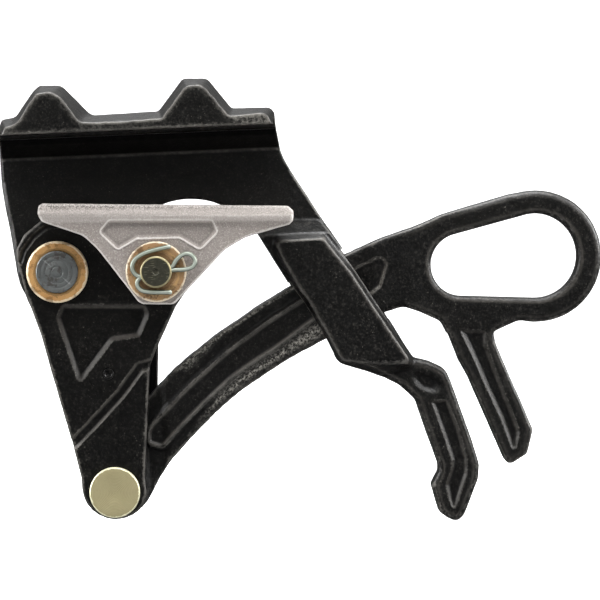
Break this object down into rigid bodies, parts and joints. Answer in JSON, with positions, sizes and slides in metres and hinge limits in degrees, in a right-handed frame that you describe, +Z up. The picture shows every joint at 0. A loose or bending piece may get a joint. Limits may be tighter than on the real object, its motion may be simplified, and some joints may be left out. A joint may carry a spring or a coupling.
{
  "type": "parallel-jaw pulling grip",
  "caption": "Parallel-jaw pulling grip for wire and cable: forged frame with a hooked upper jaw, swinging link, pivoting lower jaw and curved drawbar with a pulling eye.",
  "frame": {"origin": "the middle of the upper jaw's rope groove, on the groove's axis", "axes": "+X along the upper jaw's rope groove towards the pulling eye, +Z up, -Y towards the open side of the jaws"},
  "size_m": [0.2849, 0.0568, 0.2163],
  "materials": {
    "forged_black": "satin black enamel over a rough forging",
    "cast_jaw": "bare light grey investment casting, grainy",
    "turned_steel": "turned end with fine rings",
    "dark_steel": "dark oiled steel",
    "gold_zinc": "bright yellow zinc plate",
    "brown_zinc": "brown-gold zinc plate",
    "pale_zinc": "pale yellow-green zinc plate",
    "bright_zinc": "silver zinc wire",
    "bronze": "sintered bearing bronze",
    "spring_steel": "oiled spring wire"
  },
  "bodies": {
    "frame_body": {"frame": "forged_black", "pivot_bushing": "bronze"},
    "link": {"link_front": "forged_black", "link_rear": "forged_black", "pivot_pin": "turned_steel", "pivot_washer": "gold_zinc", "pivot_rear_washer": "gold_zinc", "jaw_pin": "dark_steel", "jaw_washer": "brown_zinc", "jaw_cotter": "bright_zinc", "drawbar_pin": "pale_zinc", "drawbar_rear_washer": "pale_zinc", "link_rivet": "forged_black", "link_spacer": "turned_steel", "return_spring": "spring_steel"},
    "jaw": {"lower_jaw": "cast_jaw"},
    "bar": {"drawbar": "forged_black", "drawbar_bushing": "bronze"}
  },
  "joints": [
    {"name": "link_swing", "type": "hinge", "parent": "frame_body", "child": "link", "pos_m": [-0.041, 0.0215, -0.0617], "axis": [0, -1, 0], "range_deg": [0, 42]},
    {"name": "jaw_swivel", "type": "hinge", "parent": "link", "child": "jaw", "pos_m": [0.00643, 0.0215, -0.06328], "axis": [0, -1, 0], "range_deg": [-42, 4]},
    {"name": "drawbar_swing", "type": "hinge", "parent": "link", "child": "bar", "pos_m": [-0.01854, 0.0215, -0.16767], "axis": [0, -1, 0], "range_deg": [-46, 4]}
  ],
  "couplings": [
    {"joint": "jaw_swivel", "follows": "link_swing", "ratio": -0.926},
    {"joint": "drawbar_swing", "follows": "link_swing", "ratio": -1.04}
  ]
}
